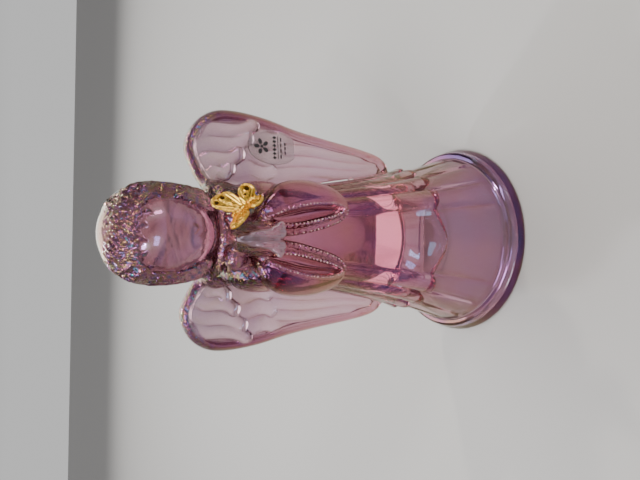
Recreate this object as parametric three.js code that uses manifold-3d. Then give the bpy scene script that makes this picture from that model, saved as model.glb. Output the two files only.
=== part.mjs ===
// Pressed-glass praying angel figurine with a gilt butterfly charm and a clear film label.
// Millimetres. +Z up, the figure faces -Y, its left hand is at +X, and the origin is the
// centre of the foot ring's underside. The casting is divided at its natural edges
// (foot, skirt, robe, sleeves, hands, collar, neck, head, hair, wings) by a thin parting gap.
import * as THREE from 'three';
import { mergeVertices } from 'three/addons/utils/BufferGeometryUtils.js';
import Module from 'manifold-3d';

const wasm = await Module();
wasm.setup();

// ---------------------------------------------------------------- driving dimensions
const FIGURE_HEIGHT = 185;
const WING_SPAN = 114;
const GAP = 0.3;

const FOOT_RADIUS = 50;
const FOOT_HEIGHT = 7;
const FOOT_CHAMFER = 1;
const SKIRT_BOTTOM_RADIUS = 45.4;
const SKIRT_TOP_RADIUS = 35;
const SKIRT_PLEAT_DEPTH = 0.4;
const SKIRT_PLEAT_COUNT = 20;

const HEM_Z = 37;
const HEM_RISE = 2.6;
const ROBE_HEM_RADIUS = 36;
const ROBE_TOP_RADIUS = 24;
const ROBE_TOP_Z = 92;
const FOLD_DEPTH = 2;
const PANEL_HALF_ANGLE = THREE.MathUtils.degToRad(27);
const FOLD_ANGLE = THREE.MathUtils.degToRad(18);
const PANEL_THICKNESS = 5;

const CAVITY_MOUTH_RADIUS = 43.5;
const CAVITY_TOP_RADIUS = 15;
const CAVITY_TOP_Z = 50;

const SHOULDER_Z = 139;
const TORSO_DEPTH_RATIO = 0.9;
const NECK_RADIUS = 10;
const NECK_TOP_Z = 146;
const COLLAR_RADIUS = 14;
const COLLAR_ROLL = 3.2;
const COLLAR_TILT = 0.16;
const LOBE_RADII = new THREE.Vector3(5.6, 5, 5);
const LOBE_CENTRE = new THREE.Vector3(8, -21, 134.5);

// Ellipsoids of the left sleeve: radii, tilt about X then about Y in radians, and centre.
const UPPER_ARM = { radii: [7.5, 10.5, 17], tiltX: -0.25, tiltY: -0.1, centre: [18, -9, 124.5] };
const SLEEVE_BELL = { radii: [10.5, 12.5, 23], tiltX: 0.16, tiltY: 0.1, centre: [14, -23.5, 111.5] };
const SLEEVE_MOUTH = { radii: [4.6, 9, 17.5], tiltX: 0.16, tiltY: -0.18, centre: [9.4, -37.5, 106.5] };

const HEAD_CENTRE = new THREE.Vector3(0, -3, 160.5);
const HEAD_RADII = new THREE.Vector3(16.5, 18.5, 19.5);
const HAIR_RADII = new THREE.Vector3(21.4, 21.4, 23);
const HAIR_CENTRE = new THREE.Vector3(0, 0, FIGURE_HEIGHT - HAIR_RADII.z);
const HAIR_BOTTOM_Z = 144;
const FRINGE_Z = 171;
const FACE_HALF_WIDTH = 14;

const HANDS_TOP_Z = 139.7;
const HANDS_BOTTOM_Z = 120.3;
const HANDS_FRONT_Y = -38;
const HANDS_BACK_Y = -22;
const HAND_WIDTH = 7.2;

const WING_TOP_Z = 148.8;
const WING_TIP_Z = 39.5;
const WING_THICKNESS = 9;
const WING_ROOT_Y = 7;
const WING_SWEEP = THREE.MathUtils.degToRad(9);
const WING_RIM = 4.5;
const WING_FIELD_DEPTH = 1.6;
const LONG_RELIEF = 0.7;
const COVERT_RELIEF = 1.2;

const CHARM_CENTRE = new THREE.Vector3(12.6, -32.7, 134.8);
const CHARM_NORMAL = new THREE.Vector3(0.33, -0.74, 0.58).normalize();
const CHARM_HEADING = new THREE.Vector3(-0.67, 0.24, 0.70);
const CHARM_THICKNESS = 1;
const CHARM_BODY_LENGTH = 11;
const CHARM_BODY_RADIUS = 0.9;
const CHARM_LEFT_FOLD = THREE.MathUtils.degToRad(24);
const CHARM_RIGHT_FOLD = THREE.MathUtils.degToRad(47);
const GLUE_RADIUS = 3.2;
const GLUE_DEPTH = 3;

const LABEL_WIDTH = 16;
const LABEL_HEIGHT = 24.4;
const LABEL_THICKNESS = 0.3;
const LABEL_CENTRE = new THREE.Vector2(41.8, 107.8);

// Segments round the robe and skirt: 12 across the front panel and 4 to each of the 17 folds.
const BODY_SEGMENTS = 80;
const RING_SEGMENTS = 60;

// ---------------------------------------------------------------- materials
const PALE_GLASS = '#d9b4c8';
const ROSE_GLASS = '#b98aa2';
const PLUM_GLASS = '#8a5a78';

function glass(colour) {
  return new THREE.MeshStandardMaterial({ color: colour, roughness: 0.04, metalness: 0 });
}

function gilt() {
  return new THREE.MeshStandardMaterial({ color: '#e0b23c', roughness: 0.28, metalness: 1 });
}

function clearPlastic() {
  return new THREE.MeshStandardMaterial({ color: '#c9c3bd', roughness: 0.2, metalness: 0 });
}

// ---------------------------------------------------------------- solids
function solidOf(geometry) {
  const bare = geometry.clone();
  bare.deleteAttribute('normal');
  bare.deleteAttribute('uv');
  const merged = mergeVertices(bare);
  const corners = merged.index.array;
  const triangles = [];
  for (let i = 0; i < corners.length; i += 3) {
    const [a, b, c] = corners.slice(i, i + 3);
    if (a !== b && b !== c && c !== a) triangles.push(a, b, c);
  }
  const vertProperties = merged.attributes.position.array;
  const triVerts = Uint32Array.from(triangles);
  return new wasm.Manifold(new wasm.Mesh({ numProp: 3, vertProperties, triVerts }));
}

function meshOf(name, solid, material) {
  const { vertProperties, triVerts } = solid.getMesh();
  const geometry = new THREE.BufferGeometry();
  geometry.setAttribute('position', new THREE.BufferAttribute(vertProperties, 3));
  geometry.setIndex(new THREE.BufferAttribute(triVerts, 1));
  geometry.computeVertexNormals();
  const mesh = new THREE.Mesh(geometry, material);
  mesh.name = name;
  return mesh;
}

function joined(...solids) {
  return solids.reduce((whole, solid) => whole.add(solid));
}

function cutBy(solid, ...cutters) {
  return cutters.reduce((left, cutter) => left.subtract(cutter), solid);
}

// Moves every vertex of a geometry through a function of its position.
function reshape(geometry, move) {
  const position = geometry.attributes.position;
  const point = new THREE.Vector3();
  for (let i = 0; i < position.count; i += 1) {
    move(point.fromBufferAttribute(position, i));
    position.setXYZ(i, point.x, point.y, point.z);
  }
  return geometry;
}

// Turns a profile of [radius, height] pairs about the Z axis, starting at the front (-Y).
function turned(profile, segments) {
  const points = profile.map(([radius, height]) => new THREE.Vector2(radius, height));
  return new THREE.LatheGeometry(points, segments).rotateX(Math.PI / 2);
}

function ellipsoid(radii, widthSegments = 20, heightSegments = 12) {
  const ball = new THREE.SphereGeometry(1, widthSegments, heightSegments).rotateX(Math.PI / 2);
  return ball.scale(radii.x, radii.y, radii.z);
}

// Extrudes an outline drawn in X and Z, from its front plane towards the back (+Y).
function plate(shape, frontY, thickness, bevel = 0) {
  const geometry = new THREE.ExtrudeGeometry(shape, {
    depth: thickness - 2 * bevel,
    bevelEnabled: bevel > 0,
    bevelThickness: bevel,
    bevelSize: bevel,
    bevelOffset: -bevel,
    bevelSegments: 2,
    curveSegments: 8,
  });
  return geometry.rotateX(Math.PI / 2).translate(0, frontY + thickness - bevel, 0);
}

// Angle round the body from the front, positive towards the figure's left.
function angleFromFront(point) {
  return Math.atan2(point.x, -point.y);
}

function setRadius(point, radius) {
  const scale = radius / Math.hypot(point.x, point.y);
  point.x *= scale;
  point.y *= scale;
}

// ---------------------------------------------------------------- hollow, foot and skirt
const CAVITY_PROFILE = [
  [CAVITY_MOUTH_RADIUS, 0],
  [40.2, FOOT_HEIGHT],
  [37.4, 13],
  [33.6, 21],
  [29.8, 30],
  [26, 39],
  [21, 46.5],
  [CAVITY_TOP_RADIUS, CAVITY_TOP_Z],
];

function cavityRadius(z) {
  const upper = CAVITY_PROFILE.findIndex(([, height]) => height >= z);
  const [topRadius, topZ] = CAVITY_PROFILE[upper];
  const [lowRadius, lowZ] = CAVITY_PROFILE[Math.max(upper - 1, 0)];
  return topZ === lowZ ? topRadius : THREE.MathUtils.mapLinear(z, lowZ, topZ, lowRadius, topRadius);
}

function footRing() {
  const rim = [
    [CAVITY_MOUTH_RADIUS, 0],
    [FOOT_RADIUS - FOOT_CHAMFER, 0],
    [FOOT_RADIUS, FOOT_CHAMFER],
    [FOOT_RADIUS, 2 * FOOT_CHAMFER],
    [SKIRT_BOTTOM_RADIUS + 1.2, FOOT_HEIGHT - FOOT_CHAMFER],
    [SKIRT_BOTTOM_RADIUS, FOOT_HEIGHT - GAP],
    [cavityRadius(FOOT_HEIGHT), FOOT_HEIGHT - GAP],
    [CAVITY_MOUTH_RADIUS, 0],
  ];
  return solidOf(turned(rim, RING_SEGMENTS));
}

// 0 in a valley between folds, 1 on a fold's crown.
function foldCrown(angle) {
  const side = Math.abs(angle) - PANEL_HALF_ANGLE;
  return side <= 0 ? 0 : Math.abs(Math.sin((Math.PI * side) / FOLD_ANGLE));
}

// The hem hangs in one wide scallop under the front panel and a small one under each fold.
function hemHeight(angle) {
  const inPanel = Math.abs(angle) < PANEL_HALF_ANGLE;
  const drop = inPanel ? Math.cos((Math.PI * angle) / (2 * PANEL_HALF_ANGLE)) : foldCrown(angle);
  return HEM_Z + HEM_RISE * (1 - drop);
}

function skirt() {
  const wallFoot = cavityRadius(FOOT_HEIGHT);
  const outerBelow = [[SKIRT_BOTTOM_RADIUS, FOOT_HEIGHT], [44.3, 11], [42.4, 16], [39.6, 23], [37.2, 30]];
  const innerAbove = [[cavityRadius(30), 30], [cavityRadius(21), 21], [cavityRadius(13), 13]];
  const bell = turned([
    [wallFoot, FOOT_HEIGHT],
    ...outerBelow,
    [SKIRT_TOP_RADIUS, HEM_Z - GAP],
    [cavityRadius(HEM_Z), HEM_Z - GAP],
    ...innerAbove,
    [wallFoot, FOOT_HEIGHT],
  ], BODY_SEGMENTS);
  return solidOf(reshape(bell, (point) => {
    const angle = angleFromFront(point);
    const radius = Math.hypot(point.x, point.y);
    const outside = radius > cavityRadius(point.z) + 1;
    if (point.z > HEM_Z - 1) {
      point.z = hemHeight(angle) - GAP;
    } else if (outside && point.z > FOOT_HEIGHT + 1) {
      setRadius(point, radius - SKIRT_PLEAT_DEPTH * Math.abs(Math.sin((SKIRT_PLEAT_COUNT * angle) / 2)));
    }
  }));
}

// ---------------------------------------------------------------- robe and front panel
const ROBE_PROFILE = [
  [ROBE_HEM_RADIUS, HEM_Z],
  [34.8, 41],
  [32.6, 49],
  [30, 60],
  [27, 76],
  [ROBE_TOP_RADIUS, ROBE_TOP_Z],
];

function robeRadius(z) {
  const upper = Math.max(ROBE_PROFILE.findIndex(([, height]) => height >= z), 1);
  const [topRadius, topZ] = ROBE_PROFILE[upper];
  const [lowRadius, lowZ] = ROBE_PROFILE[upper - 1];
  return THREE.MathUtils.mapLinear(z, lowZ, topZ, lowRadius, topRadius);
}

// Folds are deepest at the hem and fade into the waist.
function foldDepth(z) {
  return THREE.MathUtils.mapLinear(z, HEM_Z, ROBE_TOP_Z, FOLD_DEPTH, 0.3);
}

function wholeRobe(grow = 0) {
  const hollow = CAVITY_PROFILE.filter(([, height]) => height > HEM_Z).reverse();
  const shell = turned([
    [0, CAVITY_TOP_Z],
    ...hollow,
    [cavityRadius(HEM_Z), HEM_Z],
    ...ROBE_PROFILE,
    [0, ROBE_TOP_Z],
  ], BODY_SEGMENTS);
  return solidOf(reshape(shell, (point) => {
    const angle = angleFromFront(point);
    const radius = Math.hypot(point.x, point.y);
    const outside = radius > cavityRadius(Math.min(point.z, CAVITY_TOP_Z)) + 1;
    if (outside && radius > CAVITY_TOP_RADIUS + 1) {
      setRadius(point, radius + foldDepth(point.z) * foldCrown(angle) + grow);
    }
    if (point.z < HEM_Z + 1) point.z = hemHeight(angle) - grow;
  }));
}

// The zone of the smooth front panel, tapering with the robe; grow widens it for the gap.
function panelZone(grow) {
  const zone = new THREE.Shape();
  const reach = 1.2;
  const halfAngle = PANEL_HALF_ANGLE + grow / ROBE_TOP_RADIUS;
  const middle = -Math.PI / 2;
  zone.absarc(0, 0, 1, middle - halfAngle, middle + halfAngle, false);
  zone.absarc(0, 0, reach, middle + halfAngle, middle - halfAngle, true);
  const geometry = new THREE.ExtrudeGeometry(zone, {
    depth: ROBE_TOP_Z - HEM_Z + 4,
    bevelEnabled: false,
    curveSegments: 8,
    steps: 6,
  });
  geometry.translate(0, 0, HEM_Z - 2);
  return solidOf(reshape(geometry, (point) => {
    const inner = Math.hypot(point.x, point.y) < (1 + reach) / 2;
    const radius = robeRadius(point.z);
    setRadius(point, inner ? radius - PANEL_THICKNESS - grow : radius * reach);
  }));
}

// ---------------------------------------------------------------- torso, sleeves and hands
// Round at the waist and flatter from front to back at the shoulders.
function torso(grow = 0) {
  const chest = turned([
    [0, ROBE_TOP_Z + GAP - grow],
    [ROBE_TOP_RADIUS + grow, ROBE_TOP_Z + GAP - grow],
    [23.2 + grow, 104],
    [22.8 + grow, 118],
    [22.4 + grow, 129],
    [19.5 + grow, 135 + grow],
    [12 + grow, SHOULDER_Z + grow],
    [0, SHOULDER_Z + grow],
  ], 40);
  return solidOf(reshape(chest, (point) => {
    point.y *= 1 - (1 - TORSO_DEPTH_RATIO) * THREE.MathUtils.smoothstep(point.z, ROBE_TOP_Z, SHOULDER_Z);
  }));
}

// A bell sleeve: a rounded upper arm running into a hanging pod with a leaf-shaped mouth.
function sleeve(side) {
  const [upperArm, bell, mouth] = [UPPER_ARM, SLEEVE_BELL, SLEEVE_MOUTH].map((form) => {
    const [x, y, z] = form.centre;
    const egg = ellipsoid(new THREE.Vector3(...form.radii));
    return solidOf(egg.rotateX(form.tiltX).rotateY(side * form.tiltY).translate(side * x, y, z));
  });
  return cutBy(joined(upperArm, bell), mouth);
}

// One palm of the pair, wide at the heel and narrowing to the fingertips.
function hand(side, grow = 0) {
  const inner = GAP / 2 - grow;
  const rightEdge = new THREE.CatmullRomCurve3([
    new THREE.Vector3(HAND_WIDTH - 1.6 + grow, 0, HANDS_BOTTOM_Z - grow),
    new THREE.Vector3(HAND_WIDTH + grow, 0, HANDS_BOTTOM_Z + 2),
    new THREE.Vector3(5 + grow, 0, HANDS_BOTTOM_Z + 6),
    new THREE.Vector3(3.6 + grow, 0, HANDS_TOP_Z - 6),
    new THREE.Vector3(2.4 + grow, 0, HANDS_TOP_Z - 1 + grow),
  ]);
  const edge = rightEdge.getPoints(10).map(({ x, z }) => new THREE.Vector2(side * x, z));
  const outline = new THREE.Shape([
    new THREE.Vector2(side * inner, HANDS_BOTTOM_Z + 0.8 - grow),
    ...edge,
    new THREE.Vector2(side * inner, HANDS_TOP_Z + grow),
  ]);
  const depth = HANDS_BACK_Y - HANDS_FRONT_Y + 2 * grow;
  return solidOf(plate(outline, HANDS_FRONT_Y - grow, depth, grow > 0 ? 0 : 0.6));
}

// ---------------------------------------------------------------- collar, neck, head and hair
function neck(grow = 0) {
  const column = turned([
    [0, SHOULDER_Z + GAP - grow],
    [NECK_RADIUS + grow, SHOULDER_Z + GAP - grow],
    [NECK_RADIUS - 0.5 + grow, NECK_TOP_Z + grow],
    [0, NECK_TOP_Z + grow],
  ], 32);
  return solidOf(column);
}

// A rolled collar with a rounded lobe on each side of the throat.
function collar(grow = 0) {
  const roll = new THREE.TorusGeometry(COLLAR_RADIUS, COLLAR_ROLL + grow, 8, 24)
    .scale(1, 1, 0.9)
    .rotateX(COLLAR_TILT)
    .translate(0, -1.5, SHOULDER_Z + 0.6);
  const lobeRadii = LOBE_RADII.clone().addScalar(grow);
  const lobes = [-1, 1].map((side) => {
    const lobe = ellipsoid(lobeRadii, 12, 8);
    return solidOf(lobe.translate(side * LOBE_CENTRE.x, LOBE_CENTRE.y, LOBE_CENTRE.z));
  });
  return joined(solidOf(roll), ...lobes);
}

function head(grow = 0) {
  const egg = ellipsoid(new THREE.Vector3(1, 1, 1), 28, 16);
  reshape(egg, (point) => {
    const jaw = THREE.MathUtils.smoothstep(-point.z, 0.1, 1);
    point.x *= (HEAD_RADII.x + grow) * (1 - 0.1 * jaw);
    point.y *= HEAD_RADII.y + grow;
    point.z *= HEAD_RADII.z + grow;
  });
  return solidOf(egg.translate(HEAD_CENTRE.x, HEAD_CENTRE.y, HEAD_CENTRE.z));
}

// The smooth cap of hair, open over the face and cut level at the nape.
function hair() {
  const cap = solidOf(
    ellipsoid(HAIR_RADII, 28, 16).translate(HAIR_CENTRE.x, HAIR_CENTRE.y, HAIR_CENTRE.z),
  );
  const faceOpening = new THREE.Shape();
  faceOpening.moveTo(-FACE_HALF_WIDTH + 2, HAIR_BOTTOM_Z - 8);
  faceOpening.lineTo(FACE_HALF_WIDTH - 2, HAIR_BOTTOM_Z - 8);
  faceOpening.quadraticCurveTo(FACE_HALF_WIDTH + 2, 152, FACE_HALF_WIDTH, FRINGE_Z - 8);
  faceOpening.quadraticCurveTo(FACE_HALF_WIDTH - 1, FRINGE_Z, 0, FRINGE_Z + 1);
  faceOpening.quadraticCurveTo(1 - FACE_HALF_WIDTH, FRINGE_Z, -FACE_HALF_WIDTH, FRINGE_Z - 8);
  faceOpening.quadraticCurveTo(-FACE_HALF_WIDTH - 2, 152, -FACE_HALF_WIDTH + 2, HAIR_BOTTOM_Z - 8);
  const opening = solidOf(plate(faceOpening, -HAIR_RADII.y - 2, HAIR_RADII.y));
  const nape = solidOf(
    new THREE.BoxGeometry(60, 60, 20).translate(0, 0, HAIR_BOTTOM_Z - 10),
  );
  return cutBy(cap, opening, nape, head(GAP), neck(GAP), collar(GAP));
}

// ---------------------------------------------------------------- wings
// Outline of the figure's left (+X) wing as [x, z]: shoulder, rounded top, long taper to the tip.
const HALF_SPAN = WING_SPAN / 2;
const WING_OUTLINE = [
  [20, 139],
  [27, 145.5],
  [38, WING_TOP_Z],
  [49, 144],
  [55.5, 135.5],
  [HALF_SPAN, 125],
  [55.4, 110],
  [51.6, 94],
  [48.6, 76],
  [46, 58],
  [43, 45],
  [38, WING_TIP_Z],
  [33, 44],
  [26, 80],
  [19, 115],
];
const WING_CENTRE = new THREE.Vector2(38, (WING_TOP_Z + WING_TIP_Z) / 2);
const WING_FRONT_Y = WING_ROOT_Y - WING_THICKNESS / 2;
const FIELD_FLOOR_Y = WING_FRONT_Y + WING_FIELD_DEPTH;

// The wing outline shrunk about its centre so that its widest places move in by the inset.
function wingShape(side, inset) {
  const scaleX = 1 - inset / (HALF_SPAN - WING_CENTRE.x);
  const scaleZ = 1 - inset / (WING_TOP_Z - WING_CENTRE.y);
  const points = WING_OUTLINE.map(([x, z]) => new THREE.Vector2(
    side * (WING_CENTRE.x + (x - WING_CENTRE.x) * scaleX),
    WING_CENTRE.y + (z - WING_CENTRE.y) * scaleZ,
  ));
  const shape = new THREE.Shape();
  shape.moveTo(points[0].x, points[0].y);
  shape.splineThru([...points.slice(1), points[0]]);
  return new THREE.Shape(shape.getPoints(3));
}

function sweptBack(geometry, side) {
  return reshape(geometry, (point) => {
    point.y += (side * point.x) * Math.tan(WING_SWEEP);
  });
}

// Feather blades as [centre x, centre z, half width, half height].
const LONG_FEATHERS = [[30.5, 88, 3.4, 32], [37.6, 84, 3.6, 38], [44.4, 94, 3.4, 30]];
const COVERT_FEATHERS = [[30, 128, 4, 11], [38.4, 130, 4.2, 13], [47, 127, 4.2, 13]];

function feather(side, [x, z, halfWidth, halfHeight], relief) {
  const blade = new THREE.Shape();
  blade.absellipse(side * x, z, halfWidth, halfHeight, 0, 2 * Math.PI, false);
  return solidOf(sweptBack(plate(blade, FIELD_FLOOR_Y - relief, relief + 2), side));
}

// A thick blade with a raised rim, sunk fields front and back, and feathers on the front.
function wing(side) {
  const blade = solidOf(sweptBack(plate(wingShape(side, 0), WING_FRONT_Y, WING_THICKNESS, 2), side));
  const field = wingShape(side, WING_RIM);
  const backFloorY = WING_FRONT_Y + WING_THICKNESS - WING_FIELD_DEPTH;
  const frontField = solidOf(sweptBack(plate(field, WING_FRONT_Y - 1, 1 + WING_FIELD_DEPTH), side));
  const backField = solidOf(sweptBack(plate(field, backFloorY, 1 + WING_FIELD_DEPTH), side));
  const longFeathers = LONG_FEATHERS.map((blades) => feather(side, blades, LONG_RELIEF));
  const coverts = COVERT_FEATHERS.map((blades) => feather(side, blades, COVERT_RELIEF));
  return joined(cutBy(blade, frontField, backField), ...longFeathers, ...coverts);
}

// ---------------------------------------------------------------- butterfly charm and label
// Charm frame: +Y towards the head, +X towards the right pair of wings, +Z off the collar.
function placedOnCollar(geometry) {
  const across = new THREE.Vector3().crossVectors(CHARM_HEADING, CHARM_NORMAL).normalize();
  const along = new THREE.Vector3().crossVectors(CHARM_NORMAL, across);
  const frame = new THREE.Matrix4().makeBasis(across, along, CHARM_NORMAL).setPosition(CHARM_CENTRE);
  return geometry.applyMatrix4(frame);
}

// Outlines of one pair of wings as [across, along].
const FORE_WING = [
  [0, 4.4],
  [4.8, 8.6],
  [7.6, 9.9],
  [9.5, 9.3],
  [10.2, 6.8],
  [9.4, 3.6],
  [7.6, 1.3],
  [0, 0.1],
];
const HIND_WING = [
  [0, 0.5],
  [3.2, 0.3],
  [5.8, -0.8],
  [7, -3],
  [6.6, -5.1],
  [5, -6.5],
  [3.2, -6.8],
  [0, -4.2],
];

function charmWing(side, points) {
  const outline = new THREE.Shape();
  outline.moveTo(side * points[0][0], points[0][1]);
  outline.splineThru(points.slice(1).map(([x, y]) => new THREE.Vector2(side * x, y)));
  outline.closePath();
  const blade = new THREE.ExtrudeGeometry(new THREE.Shape(outline.getPoints(3)), {
    depth: CHARM_THICKNESS,
    bevelEnabled: false,
  });
  const fold = side > 0 ? CHARM_LEFT_FOLD : CHARM_RIGHT_FOLD;
  return solidOf(placedOnCollar(blade.rotateY(-side * fold)));
}

function butterflyCharm() {
  const straight = CHARM_BODY_LENGTH - 2 * CHARM_BODY_RADIUS;
  const body = new THREE.CapsuleGeometry(CHARM_BODY_RADIUS, straight, 3, 10)
    .translate(0, 0, CHARM_THICKNESS);
  const wings = [-1, 1].flatMap((side) => [charmWing(side, FORE_WING), charmWing(side, HIND_WING)]);
  return joined(solidOf(placedOnCollar(body)), ...wings);
}

// A bead of clear adhesive between the charm's belly and the collar.
function glueBead(grow = 0) {
  const radii = new THREE.Vector3(GLUE_RADIUS, GLUE_RADIUS, GLUE_DEPTH).addScalar(grow);
  const bead = ellipsoid(radii, 14, 8);
  return solidOf(placedOnCollar(bead.translate(0, 0, 0.6 - GLUE_DEPTH)));
}

// The clear film is oval with its lower end cut straight, and follows the wing's field.
function labelFilm() {
  const outline = new THREE.Shape();
  const cut = 0.22 * Math.PI;
  outline.absellipse(0, 0, LABEL_WIDTH / 2, LABEL_HEIGHT / 2, cut - Math.PI / 2, 1.5 * Math.PI - cut, false);
  outline.closePath();
  const frontY = FIELD_FLOOR_Y - COVERT_RELIEF - GAP - LABEL_THICKNESS;
  const film = plate(outline, frontY, LABEL_THICKNESS).translate(LABEL_CENTRE.x, 0, LABEL_CENTRE.y);
  return solidOf(sweptBack(film, 1));
}

// ---------------------------------------------------------------- assembly
const figure = new THREE.Group();

function addPart(name, solid, material) {
  figure.add(meshOf(name, solid, material));
}

const robeSolid = wholeRobe();
const charmSolid = butterflyCharm();
const bothHands = joined(hand(1, GAP), hand(-1, GAP));
const collarSolid = cutBy(collar(), neck(GAP), head(GAP), torso(GAP), bothHands, glueBead(GAP));

addPart('foot_ring', footRing(), glass(PALE_GLASS));
addPart('skirt', skirt(), glass(PALE_GLASS));
addPart('robe', cutBy(robeSolid, panelZone(GAP)), glass(ROSE_GLASS));
addPart('front_panel', robeSolid.intersect(panelZone(0)), glass(PALE_GLASS));
addPart('torso', torso(), glass(ROSE_GLASS));
addPart('neck', cutBy(neck(), head(GAP)), glass(PLUM_GLASS));
addPart('head', head(), glass(PALE_GLASS));
addPart('hair', hair(), glass(PLUM_GLASS));
[[1, 'left'], [-1, 'right']].forEach(([side, name]) => {
  const arm = cutBy(sleeve(side), torso(GAP), wholeRobe(GAP), bothHands, collar(GAP), glueBead(GAP));
  addPart(`${name}_hand`, cutBy(hand(side), torso(GAP)), glass(PALE_GLASS));
  addPart(`${name}_sleeve`, arm, glass(ROSE_GLASS));
  addPart(`${name}_wing`, cutBy(wing(side), torso(GAP), wholeRobe(GAP)), glass(PALE_GLASS));
});
addPart('collar', collarSolid, glass(PLUM_GLASS));
addPart('butterfly_charm', charmSolid, gilt());
addPart('charm_glue', cutBy(glueBead(), charmSolid, torso(GAP)), clearPlastic());
addPart('label_film', labelFilm(), clearPlastic());

export default figure;
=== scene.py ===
"""Looks of the pressed-glass praying angel: the fused glass casting, its gilt butterfly charm
with a bead of glue, and the clear film label on the wing. Shapes are worked out in millimetres in
the CAD frame (+Z up, the figure faces -Y, its left hand at +X) and stored in metres."""
import math

import bpy
import numpy as np
from mathutils import Matrix, Vector


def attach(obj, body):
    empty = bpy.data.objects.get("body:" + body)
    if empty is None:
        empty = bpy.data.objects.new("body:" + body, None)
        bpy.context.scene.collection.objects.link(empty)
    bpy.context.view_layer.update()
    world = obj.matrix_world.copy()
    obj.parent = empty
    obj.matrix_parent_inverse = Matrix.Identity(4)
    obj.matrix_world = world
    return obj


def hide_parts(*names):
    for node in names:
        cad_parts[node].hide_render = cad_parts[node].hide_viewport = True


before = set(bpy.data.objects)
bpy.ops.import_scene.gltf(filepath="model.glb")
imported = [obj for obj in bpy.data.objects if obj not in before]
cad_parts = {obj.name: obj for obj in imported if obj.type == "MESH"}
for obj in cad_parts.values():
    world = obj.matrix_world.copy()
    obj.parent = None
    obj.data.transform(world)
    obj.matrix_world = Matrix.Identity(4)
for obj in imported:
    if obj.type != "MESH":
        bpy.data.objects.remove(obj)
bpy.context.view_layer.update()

MM = 0.001
CASTING_STEP = 0.8
CHARM_STEP = 0.16


# ---------------------------------------------------------------- camera
# The photograph was taken from above the figure's front with the phone turned on its side,
# so the figure's head points to the left of the picture.
CAMERA_DISTANCE = 214.3
CAMERA_HEIGHT = 199.8
CAMERA_PITCH = math.radians(28.20)
CAMERA_AZIMUTH = math.radians(2.11)
CAMERA_YAW = math.radians(0.43)
CAMERA_ROLL = math.radians(0.96)
FOCAL_LENGTH = 28.125


def make_camera():
    heading = CAMERA_AZIMUTH + CAMERA_YAW
    forward = Vector((
        -math.sin(heading) * math.cos(CAMERA_PITCH),
        math.cos(heading) * math.cos(CAMERA_PITCH),
        -math.sin(CAMERA_PITCH),
    ))
    level = Vector((math.cos(heading), math.sin(heading), 0))
    upright = level.cross(forward)
    across = math.cos(CAMERA_ROLL) * level + math.sin(CAMERA_ROLL) * upright
    along = math.cos(CAMERA_ROLL) * upright - math.sin(CAMERA_ROLL) * level
    data = bpy.data.cameras.new("camera")
    data.lens = FOCAL_LENGTH
    data.sensor_width = 36
    data.clip_start = 0.01
    camera = bpy.data.objects.new("camera", data)
    bpy.context.collection.objects.link(camera)
    axes = Matrix((-along, across, -forward)).transposed().to_4x4()
    place = Vector((
        CAMERA_DISTANCE * math.sin(CAMERA_AZIMUTH),
        -CAMERA_DISTANCE * math.cos(CAMERA_AZIMUTH),
        CAMERA_HEIGHT,
    )) * MM
    camera.matrix_world = Matrix.Translation(place) @ axes
    bpy.context.scene.camera = camera


# ---------------------------------------------------------------- fields
# A field is a function of x, y and z arrays that is negative inside a solid, in millimetres.
def smooth_union(a, b, radius):
    mix = np.clip(0.5 + 0.5 * (b - a) / radius, 0, 1)
    return b + (a - b) * mix - radius * mix * (1 - mix)


def smooth_common(a, b, radius):
    return -smooth_union(-a, -b, radius)


def smooth_cut(solid, cutter, radius):
    return smooth_common(solid, -cutter, radius)


def smoothstep(value, low, high):
    t = np.clip((value - low) / (high - low), 0, 1)
    return t * t * (3 - 2 * t)


def ellipsoid(x, y, z, centre, radii, tilt_x=0.0, tilt_y=0.0):
    """tilt_x and tilt_y turn the ellipsoid about X, then about Y, as right-hand angles."""
    px, py, pz = x - centre[0], y - centre[1], z - centre[2]
    c, s = math.cos(tilt_y), math.sin(tilt_y)
    px, pz = c * px - s * pz, s * px + c * pz
    c, s = math.cos(tilt_x), math.sin(tilt_x)
    py, pz = c * py + s * pz, -s * py + c * pz
    a, b, c = radii
    k0 = np.sqrt((px / a) ** 2 + (py / b) ** 2 + (pz / c) ** 2)
    k1 = np.sqrt((px / a**2) ** 2 + (py / b**2) ** 2 + (pz / c**2) ** 2)
    return k0 * (k0 - 1) / np.maximum(k1, 1e-6)


def smooth_curve(points, steps=24):
    """Points on a Catmull-Rom curve through the given points, ends included."""
    p = np.array(points, float)
    p = np.vstack([2 * p[0] - p[1], p, 2 * p[-1] - p[-2]])
    t = np.linspace(0, 1, steps, endpoint=False)[:, None]
    rows = []
    for a, b, c, d in zip(p[:-3], p[1:-2], p[2:-1], p[3:]):
        bend = (2 * a - 5 * b + 4 * c - d) * t**2
        twist = (3 * b - a - 3 * c + d) * t**3
        rows.append(0.5 * (2 * b + (c - a) * t + bend + twist))
    rows.append(p[-2:-1])
    return np.vstack(rows)


def radius_of_height(points):
    """A smooth radius as a function of height, from [radius, height] pairs."""
    curve = smooth_curve(points)
    return lambda z: np.interp(z, curve[:, 1], curve[:, 0])


def outline_distance(px, pz, outline):
    """Distance to a closed outline in the X-Z plane, positive inside."""
    nearest = np.full(np.broadcast(px, pz).shape, 1e9)
    inside = np.zeros(nearest.shape, bool)
    for a, b in zip(outline, np.roll(outline, -1, axis=0)):
        ex, ez = b - a
        wx, wz = px - a[0], pz - a[1]
        t = np.clip((wx * ex + wz * ez) / (ex * ex + ez * ez + 1e-12), 0, 1)
        nearest = np.minimum(nearest, (wx - t * ex) ** 2 + (wz - t * ez) ** 2)
        if a[1] != b[1]:
            crosses = ((a[1] > pz) != (b[1] > pz)) & (px < ex * (pz - a[1]) / (b[1] - a[1]) + a[0])
            inside ^= crosses
    return np.where(inside, 1, -1) * np.sqrt(nearest)


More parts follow.
